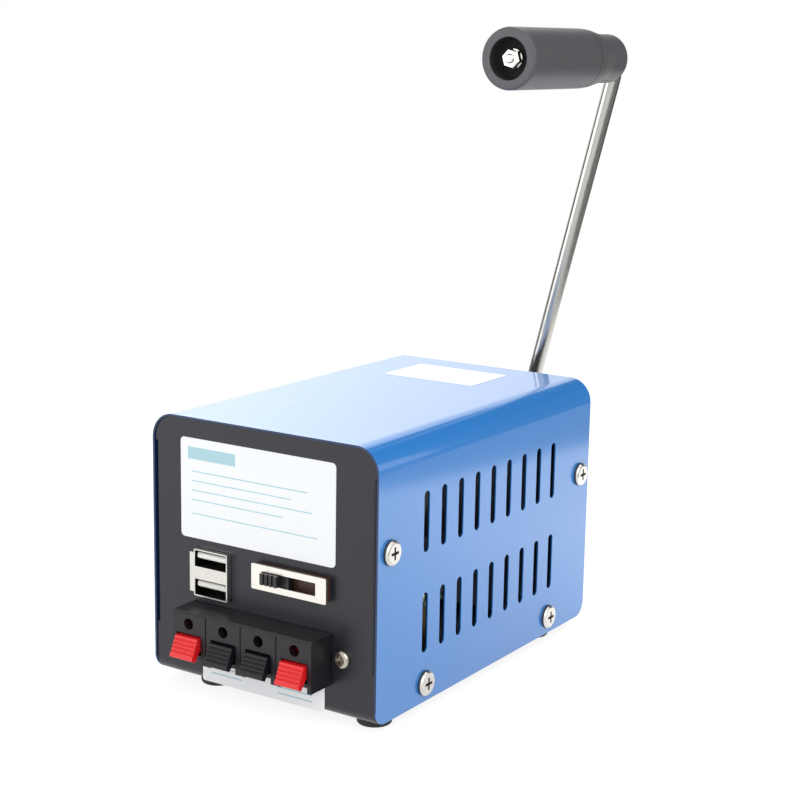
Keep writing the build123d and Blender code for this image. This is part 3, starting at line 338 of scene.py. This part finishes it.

# %% [markdown]
# ## Metal with painted shade
# A screw's cross and the rim under its head lie in shade, and hardly any light enters a USB shell. There the
# metal is painted dark and made rougher: a painted shade. One helper makes a metal that darkens behind a
# mask.
# For the screws the mask is a depth under the crown of the head, and for the shell it is the space inside its
# walls, past the lip on its left.

# %% Screws and shells
CROWN_T = 0.75 * MM
WALL_T, MOUTH_T, LIP_W = 0.3 * MM, 0.25 * MM, 1.9 * MM
screws_lo, screws_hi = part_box("cover_screws")
shell_lo, shell_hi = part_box("usb_shell")


def shade_under_crown(x, y, z):
    """1 inside the cross and under the rim of a screw's head, where shade is painted."""
    return abs(x - cover_mid.x) < (screws_hi.x - screws_lo.x) / 2 - CROWN_T


def shade_inside_shell(x, y, z):
    """1 inside the walls of the USB shell, where shade is painted."""
    between = (x < shell_hi.x - WALL_T) * (z < shell_hi.z - WALL_T) * (z > shell_lo.z + WALL_T)
    return between * (y > shell_lo.y + MOUTH_T) * (x > shell_lo.x + LIP_W)


def metal_with_painted_shade(name, colour, grain, stretch, find_shade, share):
    """A bright metal with a painted shade: it darkens to a share of its colour where the mask is one."""
    made = Finish(name, colour, 0.2, metallic=1.0)
    marks = made.noise(900.0, 4.0)
    mask = find_shade(*made.axes())
    unshaded_metal = made.mottle(marks, colour, *METAL_SHADES)
    made.feed("Base Color", made.mix(mask, unshaded_metal, shade(colour, share)))
    made.feed("Roughness", 0.18 + marks * 0.1 + mask * 0.3)
    made.bump(made.noise(grain, 4.0, stretch), MARK_STRENGTH, MARK_DEPTH)
    return made


# Painted shade in the screws' crosses and under their heads, and inside the USB shell.
metal_with_painted_shade("screw_nickel", NICKEL, 900.0, EVEN, shade_under_crown, 0.16).wear("cover_screws")
metal_with_painted_shade("pressed_shell", (0.7, 0.68, 0.64), 1400.0, (0.1, 1, 1), shade_inside_shell, 0.04).wear("usb_shell")

# %% [markdown]
# ## Sleeves of the capacitors
# A capacitor wears a shrunk plastic sleeve, dark blue and smooth, with a faint unevenness where it tightened.
# Only a glimpse of it shows through the vents, so a thin coat and a slow noise are enough.

# %% Sleeves
SLACK, TIGHT = (0.026, 0.03, 0.05, 1), (0.036, 0.042, 0.07, 1)
SLEEVE_CLOUDS = 200.0
sleeve = Finish("shrink_sleeve", SLACK[:3], 0.3, coat_weight=0.3)
sleeve.feed("Base Color", sleeve.mix(sleeve.noise(SLEEVE_CLOUDS), SLACK, TIGHT))
sleeve.wear("capacitors")

# %% [markdown]
# ## Paper labels
# Three stickers lie on the painted sheet: a large one and a small one on the front, and one on the top. A
# sticker is a thin sheet with rounded corners. In bmesh a grid of one square gives the sheet, a bevel of its
# four corner points rounds it, and an extrusion gives it its thickness of a tenth of a millimetre. The
# width of every label runs along X, so only the direction of its height has to be told.

# %% Cutting a sticker
PAPER_T = 0.1 * MM
CORNER_STEPS = 6
WELD = 1e-7


def solid_from(bm, name, finish, body):
    """Turn a finished bmesh into an object that rides on a body."""
    bmesh.ops.remove_doubles(bm, verts=bm.verts, dist=WELD)
    bmesh.ops.recalc_face_normals(bm, faces=bm.faces)
    mesh = bpy.data.meshes.new(name)
    bm.to_mesh(mesh)
    bm.free()
    piece = bpy.data.objects.new(name, mesh)
    bpy.context.collection.objects.link(piece)
    mesh.materials.append(finish.material)
    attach(piece, body)
    print(name, len(mesh.polygons), "faces")
    return piece


def sticker(name, centre, up, size, corner, finish):
    """A rounded sheet around centre, with its width along X and its height along up."""
    bm = bmesh.new()
    bmesh.ops.create_grid(bm, x_segments=1, y_segments=1, size=0.5)
    bmesh.ops.scale(bm, vec=(*size, 1), verts=bm.verts)
    bmesh.ops.bevel(bm, geom=bm.verts[:], offset=corner, affect="VERTICES", segments=CORNER_STEPS,
                    profile=0.5, material=-1)
    top = bmesh.ops.extrude_face_region(bm, geom=bm.faces[:])["geom"]
    lifted = [part for part in top if isinstance(part, bmesh.types.BMVert)]
    bmesh.ops.translate(bm, vec=(0, 0, PAPER_T), verts=lifted)
    across, up = Vector((1, 0, 0)), Vector(up)
    turn = Matrix((across, up, across.cross(up))).transposed().to_4x4()
    bmesh.ops.transform(bm, matrix=Matrix.Translation(centre) @ turn, verts=bm.verts)
    sheet = solid_from(bm, name, finish, "housing")


print("stickers can be cut")

# %% [markdown]
# ## Print on the labels
# The print is generic: a plain tinted band and blank ruled lines. Each bar is a mask, one where the point
# lies between two bounds and nought elsewhere. The comparison of a wire with a number adds a Math node, and
# the product of four comparisons is one inside the bar. The built-in `sum` starts from the number 0, so it
# needs the reflected form of the plus sign.

# %% Printed paper
PAPER = (0.86, 0.88, 0.9)
TEAL = (0.25, 0.52, 0.6, 1)
GREY = (0.5, 0.53, 0.58, 1)
INK_SHARE = 0.8
FIBRES, FIBRE_DEPTH = 2500.0, 0.02 * MM


def printed_paper(name, axes, centre, bars, ink=TEAL, white=0.95):
    """White paper with bars, each given as its low and high corner in millimetres from the centre."""
    tone = shade(PAPER, white)[:3]
    made = Finish(name, tone, 0.42, coat_weight=0.3, coat_roughness=0.25)
    u, v = (place - middle for place, middle in zip(made.axes(axes), centre))
    mask = sum((u > u0 * MM) * (u < u1 * MM) * (v > v0 * MM) * (v < v1 * MM) for u0, v0, u1, v1 in bars)
    fibre = made.noise(FIBRES, 3.0)
    paper = made.mottle(fibre, tone, 0.98, 1.01)
    made.feed("Base Color", made.mix(mask * INK_SHARE, paper, ink))
    made.bump(fibre, 0.15, FIBRE_DEPTH)
    return made


print("paper can be printed")

# %% [markdown]
# ## The three labels
# The large front label has a band above five ruled lines. The small front label runs down behind the
# terminals to the panel's bottom edge. The top label's print is grey, because there it only shows as a faint
# pattern. The places of the labels are measured from the middle of the housing and the cover's lower edge,
# and the bars are in millimetres from a label's middle.

# %% Front label
UP, BACK = (0, 0, 1), (0, 1, 0)
front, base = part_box("chassis")[0].y, cover_lo.z
LEFT, RIGHT = housing.x - 31.4 * MM, housing.x + 27.3 * MM
LOW, HIGH = base + 46.1 * MM, base + 77.7 * MM
BAND = (-26.5, 9.2, -8.0, 13.0)
LINE_START, LINE_T = -25.0, 0.35
LINE_HEIGHTS = (5.2, 2.2, -0.8, -3.8, -8.2)
LINE_LENGTHS = (44.0, 38.0, 46.0, 35.0, 48.0)
front_centre = Vector(((LEFT + RIGHT) / 2, front, (LOW + HIGH) / 2))
front_bars = [BAND] + [(LINE_START, height, LINE_START + length, height + LINE_T)
                       for height, length in zip(LINE_HEIGHTS, LINE_LENGTHS)]
front_print = printed_paper("front_label_paper", "XZ", (front_centre.x, front_centre.z), front_bars)
sticker("front_label", front_centre, UP, (RIGHT - LEFT, HIGH - LOW), 1.4 * MM, front_print)

# %% Lower label
LOWER_BARS = ((-20.0, 0.4, -6.0, 0.8), (-20.0, -1.8, -8.0, -1.4), (6.0, -0.6, 19.0, -0.2),
              (6.0, -2.6, 19.0, -2.2))
low_centre = Vector((housing.x + 0.35 * MM, front, base + 5.25 * MM))
# This paper is painted lighter than the other labels: painted light that makes up for the terminal block's
# shade over it.
low_print = printed_paper("lower_label_paper", "XZ", (low_centre.x, low_centre.z), LOWER_BARS, white=1.08)
sticker("lower_label", low_centre, UP, (46.9 * MM, 9.5 * MM), 0.8 * MM, low_print)

# %% Top label
TOP_BARS = ((-15.0, 4.5, 8.0, 5.1), (-15.0, 1.0, 14.0, 1.6), (-15.0, -2.5, 10.0, -1.9),
            (-15.0, -6.0, 13.0, -5.4))
top_centre = Vector((housing.x - 2.25 * MM, housing.y + 41.55 * MM, cover_hi.z))
top_print = printed_paper("top_label_paper", "XY", (top_centre.x, top_centre.y), TOP_BARS, GREY)
sticker("top_label", top_centre, BACK, (35.5 * MM, 23.7 * MM), 1.0 * MM, top_print)

# %% [markdown]
# ## The camera
# The picture looks at the front panel from its right and a little from above. A camera matrix is four
# columns: its right, its up, its backward direction and its place. They follow from three angles: how far it
# is turned to the left, how far it looks down, and a small roll. Lens and sensor are in millimetres.

# %% Camera
CAMERA_ANGLES = (33.325, 11.756, 0.965)
CAMERA_PLACE = Vector((0.31019, -0.46198, 0.20122))
LENS, SENSOR = 78.156, 36.0
turn, down, roll = (math.radians(angle) for angle in CAMERA_ANGLES)
ahead = Vector((-math.sin(turn) * math.cos(down), math.cos(turn) * math.cos(down), -math.sin(down)))
level = Vector((math.cos(turn), math.sin(turn), 0))
upright = level.cross(ahead)
right_side = math.cos(roll) * level + math.sin(roll) * upright
up_side = math.cos(roll) * upright - math.sin(roll) * level
lens = bpy.data.cameras.new("camera")
lens.sensor_width = SENSOR
lens.lens = LENS
camera = bpy.data.objects.new("camera", lens)
turned = Matrix((right_side, up_side, -ahead)).transposed().to_4x4()
camera.matrix_world = Matrix.Translation(housing + CAMERA_PLACE) @ turned
bpy.context.collection.objects.link(camera)
bpy.context.scene.camera = camera
print("camera at", [round(v, 3) for v in camera.location])

# %% [markdown]
# ## The studio
# The room is white wherever the camera, a mirror or a clear surface looks at it, and a softer grey where it
# only lights things. The Light Path node tells these rays apart, and two Math nodes gather the three kinds.
# The studio's nets are small, so they use the plain helper that makes a node, without wires.

# %% Room
ROOM_LIGHT, ROOM_SEEN = 0.55, 1.0


def looked_at(net):
    """1 for a ray from the camera, off a glossy surface or through a clear one."""
    path = net_node(net, "ShaderNodeLightPath").outputs
    largest = {"operation": "MAXIMUM"}
    two = net_node(net, "ShaderNodeMath", largest, {0: path["Is Camera Ray"], 1: path["Is Glossy Ray"]})
    three = net_node(net, "ShaderNodeMath", largest, {0: two.outputs[0], 1: path["Is Transmission Ray"]})
    return three.outputs[0]


world = bpy.data.worlds.new("room")
bpy.context.scene.world = world
world.use_nodes = True
net = world.node_tree
strength = net_node(net, "ShaderNodeMix", None, {
    "Factor": looked_at(net), "A": ROOM_LIGHT, "B": ROOM_SEEN})
net.nodes["Background"].inputs["Color"].default_value = (1, 1, 1, 1)
net.links.new(strength.outputs[0], net.nodes["Background"].inputs["Strength"])
print("room is white")

# %% [markdown]
# ## The floor
# The floor is a wide sheet just under the feet. Its paint is partly a matt white, which takes the shadow of
# the housing, and partly a glow that only shows to looking rays, so that the far floor meets the white room
# without a line.

# %% Floor
FLOOR_SIDE, FLOOR_DROP = 12.0, 0.2 * MM
FLOOR_WHITE = (0.92, 0.92, 0.92, 1)
FLOOR_GLOW, GLOW_SHARE = 1.2, 0.72


def card(name, corner, across, up):
    """A flat stage sheet from a corner along two edges, and the net of its paint."""
    bm = bmesh.new()
    bmesh.ops.create_grid(bm, x_segments=1, y_segments=1, size=0.5)
    bmesh.ops.translate(bm, vec=(0.5, 0.5, 0), verts=bm.verts)
    across, up = Vector(across), Vector(up)
    edges = Matrix((across, up, across.cross(up).normalized())).transposed().to_4x4()
    bmesh.ops.transform(bm, matrix=Matrix.Translation(corner) @ edges, verts=bm.verts)
    mesh = bpy.data.meshes.new(name)
    bm.to_mesh(mesh)
    bm.free()
    sheet = bpy.data.objects.new(name, mesh)
    bpy.context.collection.objects.link(sheet)
    paint = bpy.data.materials.new(name + "_paint")
    paint.use_nodes = True
    mesh.materials.append(paint)
    return sheet, paint.node_tree


def show(net, shader):
    """Make a shader the surface of its net."""
    net.links.new(shader.outputs[0], net.nodes["Material Output"].inputs["Surface"])


net = card("studio_floor", (-FLOOR_SIDE / 2, -FLOOR_SIDE / 2, -FLOOR_DROP), (FLOOR_SIDE, 0, 0),
           (0, FLOOR_SIDE, 0))[1]
matt = net_node(net, "ShaderNodeBsdfDiffuse", None, {"Color": FLOOR_WHITE})
lit = net_node(net, "ShaderNodeEmission", None, {"Strength": FLOOR_GLOW})
share = net_node(net, "ShaderNodeMath", {"operation": "MULTIPLY"}, {0: looked_at(net), 1: GLOW_SHARE})
show(net, net_node(net, "ShaderNodeMixShader", None, {
    0: share.outputs[0], 1: matt.outputs[0], 2: lit.outputs[0]}))
print("floor laid")

# %% [markdown]
# ## Lamps and cards
# Four large round lamps light the housing softly. What gives paint and metal their shape is what they
# mirror, so a photographer stands cards around an object: black ones darken an edge, white ones lift it. The
# cards here are seen by glossy surfaces alone and cast neither light nor shadow.

# %% Lamps
def soft_box(name, place, aim, size, power):
    """A round lamp of a size in metres and a power in watts, turned to look at a point."""
    lamp = bpy.data.lights.new(name, "AREA")
    lamp.shape = "DISK"
    lamp.size = size
    lamp.energy = power
    holder = bpy.data.objects.new(name, lamp)
    holder.location = place
    holder.rotation_euler = (Vector(aim) - Vector(place)).to_track_quat("-Z", "Y").to_euler()
    bpy.context.collection.objects.link(holder)
    print(name, power, "W")


soft_box("key", (0.9, -0.7, 0.9), (0, 0, 0.08), 1.4, 9.0)
soft_box("rear", (-0.9, 0.8, 0.9), (0, 0.05, 0.05), 0.8, 8.0)
soft_box("fill", (-0.8, -0.9, 0.35), (0, 0, 0.05), 0.8, 4.0)
soft_box("above", (-0.2, 0.4, 1.2), (0, 0.05, 0.15), 0.8, 4.0)

# %% Cards
BLACK = 0.05
WHITE_LEFT, WHITE_RIGHT = 1.45, 1.05


def for_mirrors(sheet):
    """Keep a stage sheet out of everything but the mirror images of glossy surfaces."""
    for ray in ("camera", "diffuse", "transmission", "volume_scatter", "shadow"):
        setattr(sheet, "visible_" + ray, False)


def ramp_along(net, direction, start, length, first, last):
    """A number that goes smoothly from first to last along a direction, over a length from a start."""
    place = net_node(net, "ShaderNodeTexCoord")
    reach = net_node(net, "ShaderNodeVectorMath", {"operation": "DOT_PRODUCT"}, {
        0: place.outputs["Object"], 1: direction})
    begin = direction.dot(start)
    end = begin + length
    ramp = net_node(net, "ShaderNodeMapRange", {"interpolation_type": "SMOOTHSTEP"}, {
        "Value": reach.outputs["Value"], "From Min": begin, "From Max": end, "To Min": first, "To Max": last})
    return ramp.outputs[0]


def glow(net, brightness):
    """Make the sheet of this net shine in a grey of the given brightness."""
    show(net, net_node(net, "ShaderNodeEmission", None, {"Color": brightness}))


def mirror_card(name, azimuth, low, high, width, distance, first, last):
    """A card round the housing, across one azimuth and between two elevations, all in degrees.

    Its glow goes from the first strength at its left end to the last at its right."""
    angle = math.radians(azimuth)
    outward = Vector((math.sin(angle), math.cos(angle), 0))
    sideways = Vector((math.cos(angle), -math.sin(angle), 0))
    half = distance * math.tan(math.radians(width / 2))
    bottom, top = (cover_hi.z + distance * math.tan(math.radians(angle)) for angle in (low, high))
    bottom = max(bottom, 0.0)
    corner = housing + outward * distance - sideways * half + Vector((0, 0, bottom))
    sheet, net = card(name, corner, sideways * 2 * half, (0, 0, top - bottom))
    glow(net, ramp_along(net, sideways, corner, 2 * half, first, last))
    for_mirrors(sheet)
    print(name, "spans", width, "degrees")


mirror_card("black_card_bend", 12, 12, 50, 52, 0.9, BLACK, BLACK)
mirror_card("white_card_top", -38, 1, 19, 50, 0.9, WHITE_LEFT, WHITE_RIGHT)
mirror_card("black_card_right", 27, -12, 18, 26, 0.56, BLACK, BLACK)
mirror_card("black_card_left", -94, -12, 18, 26, 0.56, BLACK, BLACK)

# %% [markdown]
# ## The table top in the paint
# The side of the cover mirrors the floor behind it on the right, and its height on the side grows with the
# distance on the floor. A bright sheet there gives the wide gleam, weaker near the housing and at the front,
# and stronger towards the back. Past its edge the mirror image goes dark, like a room behind a table, so that
# the top of the side and the bend above it keep their full blue. All lengths here are in metres.

# %% Bright and dark parts of the floor
EDGE_AT = housing + Vector((0.199, 0.167, 0.0002))
EDGE_TURN = math.radians(13)
EDGE_TO_FRONT = 0.4
BRIGHT_WIDTH, BRIGHT_LENGTH = 0.2, 0.95
DARK_WIDTH, DARK_LENGTH = 1.4, 2.4
GLEAM_AT, GLEAM_LENGTH = housing - Vector((0, 0.03, 0)), 0.22
FADE_LENGTH = 0.02

along_edge = Vector((-math.sin(EDGE_TURN), math.cos(EDGE_TURN), 0))
past_edge = Vector((math.cos(EDGE_TURN), math.sin(EDGE_TURN), 0))
edge_start = EDGE_AT - along_edge * EDGE_TO_FRONT

bright_corner = edge_start - past_edge * BRIGHT_WIDTH
sheet, net = card("bright_floor", bright_corner, past_edge * BRIGHT_WIDTH, along_edge * BRIGHT_LENGTH)
glow(net, ramp_along(net, Vector((0, 1, 0)), GLEAM_AT, GLEAM_LENGTH, 0.9, 1.6))
for_mirrors(sheet)
sheet, net = card("dark_floor", edge_start, past_edge * DARK_WIDTH, along_edge * DARK_LENGTH)
glow(net, ramp_along(net, past_edge, EDGE_AT, FADE_LENGTH, 0.8, 0.28))
for_mirrors(sheet)
print("table edge at", [round(v, 3) for v in EDGE_AT])

# %% [markdown]
# ## Finish
# The view transform is Standard, so that a colour shows as it is written.

# %% Finish
bpy.context.scene.view_settings.view_transform = "Standard"
